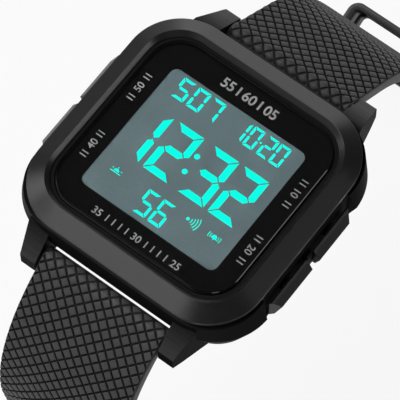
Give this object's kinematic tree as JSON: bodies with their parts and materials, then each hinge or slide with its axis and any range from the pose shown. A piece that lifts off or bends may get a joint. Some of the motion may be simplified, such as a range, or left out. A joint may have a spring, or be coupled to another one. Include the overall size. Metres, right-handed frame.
{
  "type": "digital wrist watch",
  "caption": "Square digital wrist watch with sloped bezel, side buttons, flared lugs and a two-piece textured strap with buckle and keepers, standing open.",
  "frame": {"origin": "centre of the case back's flat outer face", "axes": "+Z out of the dial, +Y towards 12 o'clock, +X towards 3 o'clock"},
  "size_m": [0.047, 0.1089, 0.0864],
  "materials": {
    "case_resin": "satin black moulded resin",
    "strap_resin": "matt black moulded resin",
    "window_glass": "clear",
    "mask_print": "matt black print",
    "seal_rubber": "matt",
    "display": "grey-blue liquid crystal",
    "light_panel": "milky",
    "connector_rubber": "matt",
    "movement_plastic": "matt",
    "board": "solder mask",
    "chip_epoxy": "gloss",
    "bright_steel": "bright",
    "buzzer_brass": "bright",
    "back_steel": "brushed"
  },
  "bodies": {
    "case": {"bezel": "case_resin", "case_middle": "case_resin", "crystal": "window_glass", "printed_mask": "mask_print", "crystal_gasket": "seal_rubber", "case_back_seal": "seal_rubber", "button_seals": "seal_rubber", "lcd_panel": "display", "backlight_panel": "light_panel", "display_connectors": "connector_rubber", "module_frame": "movement_plastic", "battery_tray": "movement_plastic", "circuit_board": "board", "chip_cover": "chip_epoxy", "quartz_can": "bright_steel", "coin_cell": "bright_steel", "battery_clip": "bright_steel", "case_back_screws": "bright_steel", "spring_bar_upper": "bright_steel", "spring_bar_lower": "bright_steel", "buzzer_contact": "bright_steel", "button_spring_upper_left": "bright_steel", "button_spring_lower_left": "bright_steel", "button_spring_upper_right": "bright_steel", "button_spring_lower_right": "bright_steel", "buzzer_disc": "buzzer_brass", "case_back": "back_steel"},
    "button_upper_left": {"button_upper_left": "case_resin", "button_clip_upper_left": "bright_steel"},
    "button_lower_left": {"button_lower_left": "case_resin", "button_clip_lower_left": "bright_steel"},
    "button_upper_right": {"button_upper_right": "case_resin", "button_clip_upper_right": "bright_steel"},
    "button_lower_right": {"button_lower_right": "case_resin", "button_clip_lower_right": "bright_steel"},
    "strap_upper_half": {"strap_upper": "strap_resin", "keeper_fixed": "strap_resin", "buckle_bar": "bright_steel"},
    "strap_lower_half": {"strap_lower": "strap_resin"},
    "free_keeper": {"keeper_free": "strap_resin"},
    "buckle": {"buckle_frame": "case_resin"},
    "tongue": {"buckle_tongue": "case_resin"}
  },
  "joints": [
    {"name": "press_upper_left", "type": "slide", "parent": "case", "child": "button_upper_left", "axis": [1, 0, 0], "range_m": [0, 0.0005], "stiffness_N_per_m": 600, "springref_m": -0.0015, "deforming": ["button_spring_upper_left"]},
    {"name": "press_lower_left", "type": "slide", "parent": "case", "child": "button_lower_left", "axis": [1, 0, 0], "range_m": [0, 0.0005], "stiffness_N_per_m": 600, "springref_m": -0.0015, "deforming": ["button_spring_lower_left"]},
    {"name": "press_upper_right", "type": "slide", "parent": "case", "child": "button_upper_right", "axis": [-1, 0, 0], "range_m": [0, 0.0005], "stiffness_N_per_m": 600, "springref_m": -0.0015, "deforming": ["button_spring_upper_right"]},
    {"name": "press_lower_right", "type": "slide", "parent": "case", "child": "button_lower_right", "axis": [-1, 0, 0], "range_m": [0, 0.0005], "stiffness_N_per_m": 600, "springref_m": -0.0015, "deforming": ["button_spring_lower_right"]},
    {"name": "upper_strap_hinge", "type": "hinge", "parent": "case", "child": "strap_upper_half", "pos_m": [0, 0.0252, 0.0055], "axis": [1, 0, 0], "range_deg": [-15, 50]},
    {"name": "lower_strap_hinge", "type": "hinge", "parent": "case", "child": "strap_lower_half", "pos_m": [0, -0.023, 0.0039], "axis": [-1, 0, 0], "range_deg": [-15, 50]},
    {"name": "free_keeper_slide", "type": "slide", "parent": "strap_upper_half", "child": "free_keeper", "axis": [0, -0.3746, 0.9272], "range_m": [0, 0.006]},
    {"name": "buckle_hinge", "type": "hinge", "parent": "strap_upper_half", "child": "buckle", "pos_m": [0, 0.06498, -0.06078], "axis": [1, 0, 0], "range_deg": [-60, 45]},
    {"name": "tongue_hinge", "type": "hinge", "parent": "buckle", "child": "tongue", "pos_m": [0, 0.06498, -0.06078], "axis": [1, 0, 0], "range_deg": [0, 60]}
  ]
}
